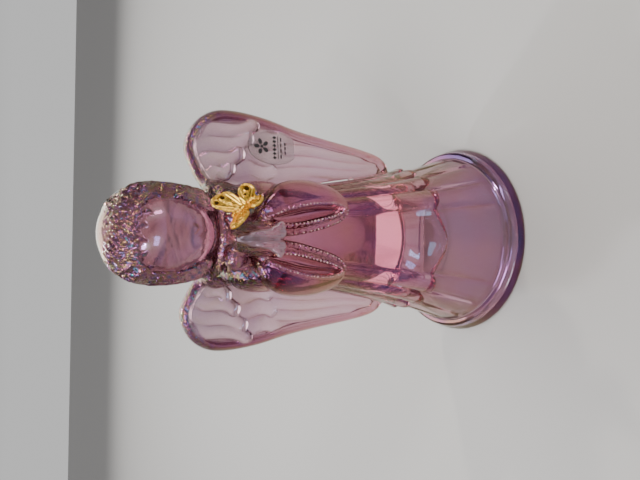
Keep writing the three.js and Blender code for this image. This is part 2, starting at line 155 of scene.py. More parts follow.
def tabulated(function, low, high, step):
    """A function of two coordinates, worked out once on a grid and read back by interpolation."""
    a = np.arange(low[0], high[0] + step, step)
    b = np.arange(low[1], high[1] + step, step)
    table = function(*np.meshgrid(a, b, indexing="ij"))

    def look_up(p, q):
        i = np.clip((p - low[0]) / step, 0, len(a) - 1.001)
        j = np.clip((q - low[1]) / step, 0, len(b) - 1.001)
        i0, j0 = i.astype(int), j.astype(int)
        i, j = i - i0, j - j0
        near = table[i0, j0] * (1 - j) + table[i0, j0 + 1] * j
        far = table[i0 + 1, j0] * (1 - j) + table[i0 + 1, j0 + 1] * j
        return near * (1 - i) + far * i

    return look_up


# ---------------------------------------------------------------- casting: hollow, skirt and robe
HEM_Z = 37
SKIRT_TOP_Z = 58
ROBE_TOP_Z = 146
PANEL_HALF_ANGLE = math.radians(27)
PANEL_INSET = 0.7
FOLD_ANGLE = math.radians(18)
FOLD_DEPTH = 2.3
CREASE_DEPTH = 0.9
CAVITY_TOP_Z = 50
# How far the hem rises from HEM_Z: at the panel's sides, at a fold's crown, more beside the crown,
# and in the small arches between the folds at the sides.
PANEL_RISE = 3.4
CROWN_RISE = 2.2
SCALLOP_RISE = 1.2
ARCH_RISE = 8.5
HEM_LIP_RADIUS = 0.85

skirt_radius = radius_of_height([
    (49.2, -1), (49.8, 0.4), (50.0, 1.2), (49.8, 2.0), (48.7, 4.6), (48.0, 6.4), (47.4, 7.2),
    (46.4, 7.7), (45.2, 7.9), (44.3, 8.3), (43.9, 9.4), (42.8, 13), (41.1, 18), (39.0, 24),
    (37.0, 30), (34.4, 37), (30.6, 44), (25, 51), (12, 58),
])
robe_radius = radius_of_height([
    (37.0, 33), (36.2, 37), (34.7, 42), (32.5, 49), (29.9, 60), (26.9, 76), (24.5, 92),
    (23.4, 104), (22.9, 116), (22.2, 127), (20, 134), (15.5, 139), (9.5, 143),
])
cavity_radius = radius_of_height([
    (45.0, -4), (43.5, 0), (40.2, 7), (37.4, 13), (33.6, 21), (29.8, 30), (25.6, 39), (20.8, 46),
    (15, 53),
])


def fold_crown(angle):
    """0 in a valley between folds and across the front panel, 1 on a fold's crown."""
    side = np.abs(angle) - PANEL_HALF_ANGLE
    return np.where(side > 0, np.abs(np.sin(math.pi * side / FOLD_ANGLE)) ** 0.6, 0)


def valley(angle, half_width):
    """1 on the lines between folds, fading within half_width degrees."""
    side = np.abs(angle) - PANEL_HALF_ANGLE
    off = (side + FOLD_ANGLE / 2) % FOLD_ANGLE - FOLD_ANGLE / 2
    line = np.exp(-((np.degrees(off) / half_width) ** 2))
    return np.where(side > -FOLD_ANGLE / 2, line, 0)


def hem_height(angle):
    panel = PANEL_RISE * (1 - np.cos(math.pi * np.clip(angle / PANEL_HALF_ANGLE, -1, 1))) / 2
    folds = CROWN_RISE + SCALLOP_RISE * (1 - fold_crown(angle))
    arches = ARCH_RISE * valley(angle, 1.9) * smoothstep(np.abs(np.degrees(angle)), 33, 40)
    return HEM_Z + np.where(np.abs(angle) < PANEL_HALF_ANGLE, panel, folds) + arches


def skirt_field(radius, angle, z):
    creases = CREASE_DEPTH * valley(angle, 1.6) * smoothstep(z, 8, 13)
    return np.maximum((radius - skirt_radius(z) + creases) * 0.92, z - SKIRT_TOP_Z)


def robe_field(x, y, z, angle):
    shoulder_flattening = 1 - 0.1 * smoothstep(z, 92, 139)
    radius = np.hypot(x, y / shoulder_flattening)
    depth = FOLD_DEPTH * (1 - smoothstep(z, 36, 112)) + 0.25
    depth = depth * (1 - 0.65 * smoothstep(np.abs(np.degrees(angle)), 48, 72))
    inset = smoothstep(z, 42, 60) * (1 - smoothstep(z, 100, 122))
    panel = PANEL_INSET * inset * smoothstep(PANEL_HALF_ANGLE - np.abs(angle), -0.01, 0.03)
    outer = (radius - robe_radius(z) - depth * fold_crown(angle) + panel) * 0.95
    below_hem = (hem_height(angle) - z) * 0.7
    robe = smooth_common(np.maximum(outer, z - ROBE_TOP_Z), below_hem, 0.8)
    lip = np.hypot(outer + 0.45, below_hem + 0.4) - HEM_LIP_RADIUS
    return smooth_union(robe, lip, 0.5)


def cavity_field(radius, z):
    return smooth_common((radius - cavity_radius(z)) * 0.8, z - CAVITY_TOP_Z, 2.5)


# ---------------------------------------------------------------- casting: sleeves, hands, collar
# Outlines in the X-Z plane of one sleeve: its pod, its leaf-shaped mouth with the inner trim band,
# and the hollow recess between the band and the mouth's outer edge.
POD_OUTLINE = smooth_curve([
    (6.5, 128.5), (10, 128.6), (15, 126.4), (20, 122.3), (23.2, 116.5), (24.5, 109), (24.2, 102),
    (22.2, 95.0), (18.4, 90.0), (13.8, 87.4), (10.3, 88.3), (6.6, 93), (3.4, 102.5), (1.3, 110.5),
    (0.8, 116), (2.6, 122.5), (6.5, 128.5),
], 4)[:-1]
MOUTH_OUTLINE = smooth_curve([
    (7.6, 127.5), (10.0, 122), (12.2, 117), (14.3, 109), (15.2, 101), (14.9, 94.5), (12.8, 89.2),
    (9.8, 90.4), (7.3, 94.5), (4.4, 103), (2.4, 110.5), (2.0, 116), (4.0, 122.5), (7.6, 127.5),
], 4)[:-1]
RECESS_OUTLINE = smooth_curve([
    (7.9, 125.5), (9.6, 121.5), (11.4, 116.6), (13.4, 109), (14.2, 101), (13.9, 95.3), (12.6, 91.4),
    (10.4, 95.5), (8.4, 103), (6.6, 110.5), (5.9, 117), (6.6, 122.5), (7.9, 125.5),
], 4)[:-1]
RECESS_DEPTH = 6
TRIM_PITCH = 2.5
TRIM_HEIGHT = 1.1
# The pod's bulge: its middle and reach in X and Z, its front edge and how far it swells out.
POD_MIDDLE = (12.5, 108)
POD_REACH = (13.5, 30)
POD_EDGE_Y = -20
POD_SWELL = 15
# An ellipsoid's centre, radii and turns.
UPPER_ARM = ((15.2, -13, 123), (8.6, 14, 15.5), 0.1, -0.1)


def beading(distance, along, width=0.75):
    """A row of small beads where distance is near 0."""
    pearls = 0.55 + 0.45 * np.cos(2 * math.pi * along / TRIM_PITCH)
    return TRIM_HEIGHT * np.exp(-((distance / width) ** 2)) * pearls


def pod_front(ax, z):
    """Y of a sleeve's bulging front surface, before its mouth is pressed in."""
    across, up = (ax - POD_MIDDLE[0]) / POD_REACH[0], (z - POD_MIDDLE[1]) / POD_REACH[1]
    return POD_EDGE_Y - POD_SWELL * np.sqrt(np.maximum(1 - across**2 - up**2, 0))


def mouth_relief(ax, z):
    """How far a sleeve's front surface is set back, negative where beads stand out."""
    mouth = outline_distance(ax, z, MOUTH_OUTLINE)
    recess = outline_distance(ax, z, RECESS_OUTLINE)
    scoop = np.clip(recess / 3.4, 0, 1)
    depth = RECESS_DEPTH * np.sqrt(1 - (1 - scoop) ** 2)
    return depth - np.maximum(beading(mouth, z), beading(recess + 0.5, z + 0.5 * TRIM_PITCH))


SLEEVE_TABLE = ((-1, 84), (27, 132), 0.2)
pod_inside = tabulated(lambda ax, z: outline_distance(ax, z, POD_OUTLINE), *SLEEVE_TABLE)
mouth_setback = tabulated(mouth_relief, *SLEEVE_TABLE)


def sleeve_field(ax, y, z):
    upper_arm = ellipsoid(ax, y, z, *UPPER_ARM)
    front = pod_front(ax, z) + mouth_setback(ax, z)
    taper = 5 * smoothstep(y, -25, -6)
    pod = smooth_common((front - y) * 0.75, taper - pod_inside(ax, z), 1.4)
    pod = smooth_common(pod, y + 8 + 0.2 * (118 - z), 3.0)
    return smooth_union(upper_arm, pod, 0.7)


HAND_HEIGHTS = [119.8, 121.0, 122.5, 124.0, 126.0, 130.0, 134.0, 137.5, 139.8]
HAND_FRONT_WIDTHS = [6.8, 7.3, 7.0, 5.2, 3.9, 2.9, 2.0, 1.2, 0.3]
HAND_BACK_WIDTHS = [7.6, 7.8, 8.0, 8.0, 7.8, 7.0, 5.8, 4.2, 2.0]
HAND_FRONT_Y = -38
HAND_LEAN = 0.14
HANDS_BOTTOM_Z = 120.2
HANDS_TOP_Z = 139.9
PALM_RIB_HEIGHT = 0.28
PALM_RIB_PITCH = 1.9


def palm_plane(z):
    """Y of the leaning plane that the palms' front faces lie in."""
    return HAND_FRONT_Y + HAND_LEAN * (z - 123)


def hands_field(ax, y, z):
    """Two palms pressed together: a narrow front face, flared at the heels, and sloping sides."""
    front = np.interp(z, HAND_HEIGHTS, HAND_FRONT_WIDTHS)
    back = np.interp(z, HAND_HEIGHTS, HAND_BACK_WIDTHS)
    front_y = palm_plane(z) + PALM_RIB_HEIGHT * np.cos(2 * math.pi * ax / PALM_RIB_PITCH)
    slope = np.clip((y - front_y - 0.2) / 7, 0, 1)
    sides = (ax - front * (1 - slope) - back * slope) * 0.75
    scallop = 0.9 * np.exp(-((ax / 1.6) ** 2)) + 0.035 * ax**2 * (ax < 9)
    ends = np.maximum(z - HANDS_TOP_Z, HANDS_BOTTOM_Z + scallop - 0.6 - z)
    depth = np.maximum(front_y - y, y + 24)
    body = smooth_common(smooth_common(sides, ends, 1.0), depth, 0.6)
    seam = np.hypot(ax, y - front_y + 0.05) - 0.55 - 0.7 * (1 - smoothstep(z, 120, 123.5))
    return smooth_cut(body, seam, 0.3)


COLLAR_TILT = 0.16
COLLAR_RADIUS = 14
COLLAR_ROLL = 3.2
COLLAR_Y = -1.5
COLLAR_Z = 139.6
COLLAR_LOBE = ((8, -21, 134.5), (5.6, 5, 5), 0.3, 0.2)


def collar_field(ax, y, z):
    """A rolled ring that dips to the front, and a lobe over each side of the chest."""
    c, s = math.cos(COLLAR_TILT), math.sin(COLLAR_TILT)
    py, pz = y - COLLAR_Y, z - COLLAR_Z
    py, pz = py * c + pz * s, pz * c - py * s
    ring = np.hypot(np.hypot(ax, py) - COLLAR_RADIUS, pz / 0.9) - COLLAR_ROLL
    lobe = ellipsoid(ax, y, z, *COLLAR_LOBE)
    return smooth_union(ring, lobe, 1.0)


# ---------------------------------------------------------------- casting: head and hair
HAIR_WIDEST_Z = 163
HAIR_BOTTOM_Z = 141.5
HAIR_DOME = ((0, 0, HAIR_WIDEST_Z), (21.2, 21.2, 21.8))
FACE = ((0, -3.5, 160), (17.6, 17.2, 18.6))
CHIN = ((0, -9, 150.5), (10.5, 11.8, 9.6))
COARSE_STRANDS = 34
FINE_STRANDS = 71
hair_radius = radius_of_height([
    (17.6, 140), (19.0, 144.5), (20.2, 150), (21.0, 156), (21.2, 163), (21.2, 166),
])


def strand_relief(x, y, z):
    """Waves of hair running down from the crown, in millimetres of height."""
    angle = np.arctan2(x, -y)
    sway = 0.10 * np.sin(0.33 * z + 2.0 * angle) + 0.05 * np.sin(0.8 * z + 5 * angle)
    coarse = np.sin(COARSE_STRANDS * (angle + sway))
    fine = np.sin(FINE_STRANDS * (angle + 0.7 * sway) + 1.3)
    crown = smoothstep(np.hypot(x, y), 7, 14)
    depth = 1 - 0.5 * smoothstep(y, 0, 8)
    return crown * depth * (0.5 * coarse + 0.24 * fine)


def fringe_height(x):
    """Height of the ragged lower edge of the fringe above the face."""
    ragged = 1.3 * np.sin(1.15 * x + 0.6) + 0.9 * np.sin(2.3 * x + 2.1) + 0.4 * np.sin(4.1 * x)
    return 170.8 - 0.022 * x**2 + ragged


def face_half_width(z):
    return 14.2 - 4.5 * smoothstep(156 - z, 0, 13)


def head_field(x, y, z):
    face = smooth_union(ellipsoid(x, y, z, *FACE), ellipsoid(x, y, z, *CHIN), 5.0)
    dome = ellipsoid(x, y, z, *HAIR_DOME)
    cap = np.where(z > HAIR_WIDEST_Z, dome, np.hypot(x, y) - hair_radius(z)) - strand_relief(x, y, z)
    cap = smooth_common(cap, HAIR_BOTTOM_Z - z, 3.0)
    window = smooth_common(np.abs(x) - face_half_width(z), z - fringe_height(x), 1.5)
    window = smooth_common(window, y + 1, 1.5)
    return smooth_union(face, smooth_cut(cap, window, 0.8), 0.5)


# ---------------------------------------------------------------- casting: wings
WING_OUTLINE = smooth_curve([
    (15, 134), (19.5, 141), (27, 145.5), (38, 148.8), (49, 144), (55.5, 135.5), (57, 125),
    (55.4, 110), (51.6, 94), (48.6, 76), (46, 58), (43, 45), (38, 39.5), (33, 44), (26, 80),
    (17, 115), (15, 134),
], 5)[:-1]
# The wing's raised rim runs only along its free edge, so this outline is carried on into the body.
RIM_OUTLINE = smooth_curve([
    (8, 132), (15, 137.5), (20, 141), (27, 145.5), (38, 148.8), (49, 144), (55.5, 135.5), (57, 125),
    (55.4, 110), (51.6, 94), (48.6, 76), (46, 58), (43, 45), (38, 39.5), (32, 40.5), (20, 50),
    (6, 80), (2, 115), (8, 132),
], 5)[:-1]
RIM_WIDTH = 3.4
RIM_HALF_THICKNESS = 4.5
FIELD_HALF_THICKNESS = 2.6
WING_ROOT_Y = 7
WING_SWEEP = math.tan(math.radians(9))
WING_SHIFT = 0.9

# Feathers as (root x, root z, tip x, tip z, half width, lift), from the shoulder outwards.
COVERTS = [
    (25.0, 138, 29.0, 129, 3.4, 3.3), (30.0, 142, 36.0, 124.5, 3.8, 4.0),
    (36.0, 144, 44.0, 120.0, 3.9, 3.2), (43.0, 144, 50.5, 117, 3.6, 3.8),
]
SECOND_COVERTS = [
    (29.0, 124, 29.5, 108, 3.6, 1.7), (36.0, 122, 37.5, 105, 4.0, 1.7), (44.5, 118, 46.0, 103, 4.0, 1.7),
]
PRIMARIES = [
    (28.5, 106, 33.5, 47, 2.7, 2.0), (34.5, 104, 36.5, 45, 2.7, 2.0),
    (40.5, 102, 39.8, 47, 2.7, 2.0), (46.4, 101, 43.4, 55, 2.6, 2.0),
]


def feather_relief(ax, z):
    """Height of the feather pattern over a wing's field: overlapping rounded lobes."""
    relief = np.zeros(np.broadcast(ax, z).shape)
    for x0, z0, x1, z1, half_width, lift in COVERTS + SECOND_COVERTS + PRIMARIES:
        ex, ez = x1 - x0, z1 - z0
        along = np.clip(((ax - x0) * ex + (z - z0) * ez) / (ex * ex + ez * ez), 0, 1)
        sway = 0.35 * half_width * np.sin(2 * math.pi * along)
        off = np.hypot(ax - x0 - along * ex - sway, z - z0 - along * ez) / half_width
        across = ((ax - x0 - sway) * ez - (z - z0) * ex) / (math.hypot(ex, ez) * half_width)
        shingle = 0.7 - 0.3 * np.clip(across, -1, 1)
        edge = 1 - smoothstep(off, 0.85, 1.05)
        swell = 0.3 + 0.7 * np.sqrt(np.clip(1 - off**2, 0, 1))
        relief = np.maximum(relief, lift * (0.4 + 0.6 * along) * shingle * swell * edge)
    return relief


WING_TABLE = ((14, 34), (62, 154), 0.25)


def wing_span(x):
    """Distance out along a wing; the pair sits slightly towards the figure's left."""
    return np.abs(x - WING_SHIFT)


wing_inside = tabulated(lambda ax, z: outline_distance(ax, z, WING_OUTLINE), *WING_TABLE)
wing_rim = tabulated(lambda ax, z: outline_distance(ax, z, RIM_OUTLINE), *WING_TABLE)
wing_relief = tabulated(feather_relief, *WING_TABLE)


def wing_field(ax, y, z):
    inside = wing_inside(ax, z)
    relief = wing_relief(ax, z)
    from_edge = wing_rim(ax, z)
    rounding = np.clip(from_edge / RIM_WIDTH, 0, 1)
    rim = RIM_HALF_THICKNESS * np.sqrt(1 - (1 - rounding) ** 2)
    field_mask = smoothstep(from_edge, RIM_WIDTH, RIM_WIDTH + 1.7)
    front = rim * (1 - field_mask) + (FIELD_HALF_THICKNESS + relief) * field_mask
    back = rim * (1 - field_mask) + (FIELD_HALF_THICKNESS + 0.8 * relief) * field_mask
    off_plane = y - WING_ROOT_Y - ax * WING_SWEEP
    slab = np.maximum(-off_plane - front, off_plane - back)
    beyond = np.hypot(np.minimum(inside, 0), off_plane) * 0.9
    return np.where(inside > 0, np.maximum(slab * 0.8, -inside), beyond)


# ---------------------------------------------------------------- pressed beads on the sleeves' trims
BEAD_SPACING = 1.5
BEAD_RADIUS = 0.45


def evenly_spaced(outline, spacing):
    """Points a fixed distance apart along an open line."""
    lengths = np.append(0, np.cumsum(np.hypot(*np.diff(outline, axis=0).T)))
    places = np.linspace(0, lengths[-1], max(2, int(lengths[-1] / spacing)))
    return np.stack([np.interp(places, lengths, outline[:, i]) for i in (0, 1)], axis=1)


def bead_centres():
    """Beads round each sleeve's mouth and along the near side of its recess, on both sleeves."""
    recess_inner_side = RECESS_OUTLINE[len(RECESS_OUTLINE) * 7 // 13:]
    plan = np.vstack([
        evenly_spaced(np.vstack([MOUTH_OUTLINE, MOUTH_OUTLINE[:1]]), BEAD_SPACING),
        evenly_spaced(recess_inner_side, BEAD_SPACING),
    ])
    ax, z = plan.T
    y = pod_front(ax, z) - 0.35
    return np.vstack([np.stack([side * ax, y, z], axis=1) for side in (-1, 1)])


def unit_ball(steps_round=10, steps_up=7):
    """Points and faces of a small unit ball."""
    rows = []
    for i in range(1, steps_up):
        lift = math.pi * i / steps_up
        turn = np.linspace(0, 2 * math.pi, steps_round, endpoint=False)
        ring = np.stack([np.sin(lift) * np.cos(turn), np.sin(lift) * np.sin(turn)], axis=1)
        rows.append(np.column_stack([ring, np.full(steps_round, np.cos(lift))]))
    points = np.vstack([[[0, 0, 1]]] + rows + [[[0, 0, -1]]])
    last = len(points) - 1
    faces = []
    for j in range(steps_round):
        k = (j + 1) % steps_round
        faces.append([0, 1 + j, 1 + k])
        faces.append([last, last - steps_round + k, last - steps_round + j])
        for i in range(steps_up - 2):
            row = 1 + i * steps_round
            faces.append([row + j, row + steps_round + j, row + steps_round + k, row + k])
    return points, faces


# ---------------------------------------------------------------- casting: the whole
NECK_RADIUS = 10
NECK_MIDDLE_Z = 142
NECK_HALF_HEIGHT = 6
SHOULDER = ((16.5, 2, 135.5), (7.5, 9, 7.5))


def casting_field(x, y, z):
    ax = np.abs(x)
    radius = np.hypot(x, y)
    angle = np.arctan2(x, -y)
    body = smooth_union(skirt_field(radius, angle, z), robe_field(x, y, z, angle), 0.5)
    body = smooth_union(body, wing_field(wing_span(x), y, z), 2.0)
    body = smooth_union(body, collar_field(ax, y, z), 1.2)
    body = smooth_union(body, sleeve_field(ax, y, z), 1.2)
    body = smooth_union(body, ellipsoid(ax, y, z, *SHOULDER), 3.5)
    body = smooth_union(body, hands_field(ax, y, z), 0.6)
    neck = np.maximum(radius - NECK_RADIUS, np.abs(z - NECK_MIDDLE_Z) - NECK_HALF_HEIGHT)
    body = smooth_union(body, neck, 2.0)
    body = smooth_union(body, head_field(x, y, z), 0.8)
    body = smooth_cut(body, cavity_field(radius, z), 0.8)
    return np.maximum(body, -z)


def hair_share(x, y, z):
    face = (np.abs(x) < face_half_width(z)) & (z < fringe_height(x)) & (y < -1)
    return smoothstep(np.hypot(x, y), 7, 14) * ~face * smoothstep(z, 144, 147) * (np.abs(x) < 24)


def shoulder_share(x, y, z):
    between_wings = 1 - smoothstep(np.abs(x), 21, 26)
    below_chin = 1 - smoothstep(z, 144, 147)
    return smoothstep(z, 121, 129) * below_chin * smoothstep(y, -36, -31) * between_wings


def crinkle(x, y, z):
    """Where the pressed surface is finely wrinkled: the hair, shoulders, collar and wing tops."""
    rims = 1 - smoothstep(wing_rim(wing_span(x), z), 3, 5)
    wing_tops = rims * smoothstep(z, 128, 142) * smoothstep(np.abs(x), 22, 26)
    coverts = 0.12 * smoothstep(z, 116, 122) * smoothstep(np.abs(x), 24, 28)
    broad = np.maximum.reduce([shoulder_share(x, y, z), wing_tops, coverts])
    return np.maximum(hair_share(x, y, z), broad)


def frost(x, y, z):
    """Where the surface is satin rather than bright: the palms and, slightly, the face."""
    ax = np.abs(x)
    palms = (y < palm_plane(z) + 1.0) & (z > 119.5) & (z < 139) & (ax < 7.5)
    face = (ax < face_half_width(z)) & (z > 142) & (z < fringe_height(x)) & (y < -4)
    return np.where(palms, 1.0, np.where(face, 0.25, 0.0))


def painted_shade(x, y, z):
    """Painted shade: where the glass colour is darkened in place of shade and thick glass, on the wing
    rims, feather steps and hollows, hair, shoulders, the robe's grooves, the skirt's creases and between
    the hands.
    """
    ax = np.abs(x)
    out = wing_span(x)
    rims = 1 - smoothstep(wing_rim(out, z), 2.6, 4.6)
    steps = np.abs(wing_relief(out + 0.3, z) - wing_relief(out - 0.3, z)) / 0.6
    wing = smoothstep(out, 20, 24) * smoothstep(y, 1, 4) * (z > 36)
    upper = smoothstep(z, 100, 125)
    hollows = (1 - np.clip(wing_relief(out, z) / (1.1 + 1.3 * upper), 0, 1)) * (0.5 + 0.2 * upper)
    feather_shade = np.maximum(0.8 * np.clip(steps, 0, 1), hollows)
    rims = np.maximum(rims * (0.6 + 0.4 * smoothstep(z, 60, 125)), feather_shade) * wing
    robe = (z > 40) & (z < 104) & (np.hypot(x, y) < 38)
    grooves = valley(np.arctan2(x, -y), 3.5) * robe
    skirt_crease_shade = 0.3 * valley(np.arctan2(x, -y), 2.0) * (z < 36) * smoothstep(z, 8, 12)
    crown = 0.45 * smoothstep(z, 174, 180)
    hair = np.maximum(crown, (0.85 - 0.5 * smoothstep(y, 0, 12)) * hair_share(x, y, z))
    between_hands = (ax < 0.9) & (y < -30) & (z > 119) & (z < 138)
    shoulders = 0.8 * shoulder_share(x, y, z)
    return np.maximum.reduce([rims, hair, shoulders, 0.4 * grooves, skirt_crease_shade, 0.9 * between_hands])


# ---------------------------------------------------------------- butterfly charm and its glue
CHARM_CENTRE = Vector((12.6, -32.7, 134.8))
CHARM_NORMAL = Vector((0.33, -0.74, 0.58)).normalized()
CHARM_ACROSS = Vector((-0.67, 0.24, 0.70)).cross(CHARM_NORMAL).normalized()
CHARM_HEADING = CHARM_NORMAL.cross(CHARM_ACROSS)
# Angle that each pair of wings is folded up from flat: the pair across +u, then the pair across -u.
CHARM_FOLD_LEFT = math.radians(24)
CHARM_FOLD_RIGHT = math.radians(47)
# How far the pair across -u is drawn out, as its wings are seen longer than the other pair.
CHARM_RIGHT_STRETCH = 1.35
FORE_WING = smooth_curve([
    (0, 4.4), (1.8, 6.2), (4.8, 8.6), (7.6, 9.9), (9.5, 9.3), (10.2, 6.8), (9.4, 3.6), (7.6, 1.3),
    (4.4, 0.3), (0, 0.1), (0, 4.4),
], 4)[:-1]
HIND_WING = smooth_curve([
    (0, 0.5), (3.2, 0.3), (5.8, -0.8), (7.0, -3.0), (6.6, -5.1), (5.0, -6.5), (3.2, -6.8),
    (1.4, -5.6), (0, -4.2), (0, 0.5),
], 4)[:-1]
# Round dimples (place across and along, radius) and veins (from, to) of one pair of wings.
DIMPLES = [
    (7.7, 7.9, 0.95), (7.9, 5.0, 0.95), (3.9, 3.3, 0.45), (4.8, -4.3, 1.05), (3.4, -2.4, 0.5),
]
VEINS = [
    ((1.2, 3.4), (6.2, 8.4)), ((1.6, 2.2), (6.4, 5.6)), ((1.6, 1.2), (8.2, 3.0)),
    ((1.2, -0.8), (5.8, -2.2)), ((0.9, -2.2), (3.2, -5.6)),
]
CHARM_PLATE_BACK = -0.5
CHARM_TRUNK_HALF_LENGTH = 4.6
CHARM_TRUNK_RADIUS = 0.85
CHARM_HEAD_RADIUS = 0.95
GLUE = ((0.3, 0.2, -1.4), (3.4, 3.1, 2.1))


def line_distance(p, q, start, end):
    ex, ey = end[0] - start[0], end[1] - start[1]
    t = np.clip(((p - start[0]) * ex + (q - start[1]) * ey) / (ex * ex + ey * ey), 0, 1)
    return np.hypot(p - start[0] - t * ex, q - start[1] - t * ey)


def charm_plan(a, v):
    return np.maximum(outline_distance(a, v, FORE_WING), outline_distance(a, v, HIND_WING))


def charm_relief(a, v):
    """Height of a charm wing's upper face: raised border and veins, round dimples with lips."""
    outlines = [np.abs(outline_distance(a, v, wing)) for wing in (FORE_WING, HIND_WING)]
    edge = np.abs(np.minimum(*outlines) - 0.35)
    height = 0.32 + 0.34 * np.exp(-((edge / 0.34) ** 2))
    for start, end in VEINS:
        height = height + 0.2 * np.exp(-((line_distance(a, v, start, end) / 0.24) ** 2))
    for across, along, radius in DIMPLES:
        off = np.hypot(a - across, v - along)
        height = height + 0.22 * np.exp(-(((off - radius) / 0.22) ** 2)) - 0.42 * (off < radius - 0.15)
    return height


CHARM_TABLE = ((-1.5, -8), (11.5, 11), 0.08)
charm_inside = tabulated(charm_plan, *CHARM_TABLE)
charm_height = tabulated(charm_relief, *CHARM_TABLE)


def charm_flat(u, w):
    """Distance out from the body along a charm wing, and height above it, once unfolded."""
    fold = np.where(u > 0, CHARM_FOLD_LEFT, CHARM_FOLD_RIGHT)
    a = (np.abs(u) * np.cos(fold) + w * np.sin(fold)) / np.where(u > 0, 1, CHARM_RIGHT_STRETCH)
    return a, w * np.cos(fold) - np.abs(u) * np.sin(fold)


def charm_field(u, v, w):
    a, height = charm_flat(u, w)
    plate = np.maximum(height - charm_height(a, v), CHARM_PLATE_BACK - height)
    wings = smooth_common(plate * 0.8, -charm_inside(a, v), 0.15)
    ripple = 0.08 * np.cos(2 * math.pi * v / 1.1)
    past_end = np.maximum(np.abs(v) - CHARM_TRUNK_HALF_LENGTH, 0)
    trunk = np.hypot(np.hypot(u, w - 0.35), past_end) - CHARM_TRUNK_RADIUS - ripple
    head = np.sqrt(u**2 + (v - 5.9) ** 2 + (w - 0.4) ** 2) - CHARM_HEAD_RADIUS
    return smooth_union(smooth_union(wings, trunk, 0.3), head, 0.3)


def charm_tarnish_and_shade(u, v, w):
    """1 in the hollows of the charm's relief, where the gilding is tarnished dark, and 0.6 on the wings'
    undersides as painted shade.
    """
    a, height = charm_flat(u, w)
    low = 1 - smoothstep(charm_height(a, v), 0.0, 0.45)
    return np.maximum(low, 0.6 * (height < -0.2)) * (a > 1.2)


def charm_place():
    axes = Matrix((CHARM_ACROSS, CHARM_HEADING, CHARM_NORMAL)).transposed().to_4x4()
    return Matrix.Translation(CHARM_CENTRE * MM) @ axes


def glue_field(u, v, w):
    uneven = 0.25 * np.sin(1.7 * u + 0.4) * np.cos(1.3 * v)
    return ellipsoid(u, v, w, *GLUE) - uneven


# ---------------------------------------------------------------- label
LABEL_CENTRE = (41.8, 107.5)
LABEL_HALF_WIDTH = 8.2
LABEL_TOP = 12.6
LABEL_BOTTOM = -11.2
LABEL_SETBACK = 5.05
FILM_THICKNESS = 0.28
PRINT_THICKNESS = 0.06


def label_outline():
    angle = np.linspace(0, 2 * math.pi, 96, endpoint=False)
    across = LABEL_HALF_WIDTH * np.sign(np.sin(angle)) * np.abs(np.sin(angle)) ** 0.92
    height = LABEL_TOP * np.cos(angle)
    return np.stack([across, np.maximum(height, LABEL_BOTTOM)], axis=1)


def oval(centre, half_width, half_height, turn=0.0, steps=24):
    angle = np.linspace(0, 2 * math.pi, steps, endpoint=False)
    across, height = half_width * np.sin(angle), half_height * np.cos(angle)
    c, s = math.cos(turn), math.sin(turn)
    return np.stack([centre[0] + c * across + s * height, centre[1] - s * across + c * height], axis=1)


def bar(centre, half_width, half_height):
    """A bar with rounded ends."""
    angle = np.linspace(0, 2 * math.pi, 24, endpoint=False)
    straight = (half_width - half_height) * np.sign(np.sin(angle))
    across = centre[0] + straight + half_height * np.sin(angle)
    height = centre[1] + half_height * np.cos(angle)
    return np.stack([across, height], axis=1)


def label_print():
    """Plain print: a five-petalled flower over a row of lozenges, a line and two rows of dashes."""
    flower = (0, 5.8)
    shapes = [oval(flower, 0.8, 0.8)]
    for petal in range(5):
        turn = 2 * math.pi * petal / 5
        middle = (flower[0] + 2.45 * math.sin(turn), flower[1] + 2.45 * math.cos(turn))
        shapes.append(oval(middle, 0.95, 1.4, turn))
    lozenges = (-4.8, -2.9, -0.97, 0.97, 2.9, 4.8)
    shapes += [oval((across, -0.7), 0.85, 1.1, steps=4) for across in lozenges]
    shapes.append(bar((0, -2.5), 5.6, 0.2))
    shapes += [bar((across, -4.0), 1.05, 0.36) for across in (-4.1, -1.37, 1.37, 4.1)]
    shapes += [bar((across, -6.2), 0.85, 0.36) for across in (-2.1, 0, 2.1)]
    return shapes


def plate_mesh(outline, front, thickness):
    """A thin plate over a convex outline in the label's plane, its front face set at `front`."""
    centre = outline.mean(axis=0)
    rings = [centre + (outline - centre) * scale for scale in (0.02, 0.35, 0.7, 0.95)]
    count = len(outline)
    flat = np.vstack(rings + [outline, outline] + rings[::-1])
    depth = front + np.repeat([0] * 4 + [0.03] + [thickness] * 5, count)
    ax = flat[:, 0] + LABEL_CENTRE[0]
    y = WING_ROOT_Y + ax * WING_SWEEP - LABEL_SETBACK + depth
    points = np.stack([ax, y, flat[:, 1] + LABEL_CENTRE[1]], axis=1)
    faces = [list(range(count))[::-1], list(range(9 * count, 10 * count))]
    for ring in range(9):
        for i in range(count):
            j = (i + 1) % count
            here, onward = ring * count, (ring + 1) * count
            faces.append([here + i, here + j, onward + j, onward + i])
    return points, faces


# ---------------------------------------------------------------- field to mesh
CORNERS = np.array([(i, j, k) for i in (0, 1) for j in (0, 1) for k in (0, 1)])
CELL_EDGES = [
    (a, b) for a in range(8) for b in range(a + 1, 8) if np.abs(CORNERS[a] - CORNERS[b]).sum() == 1
]


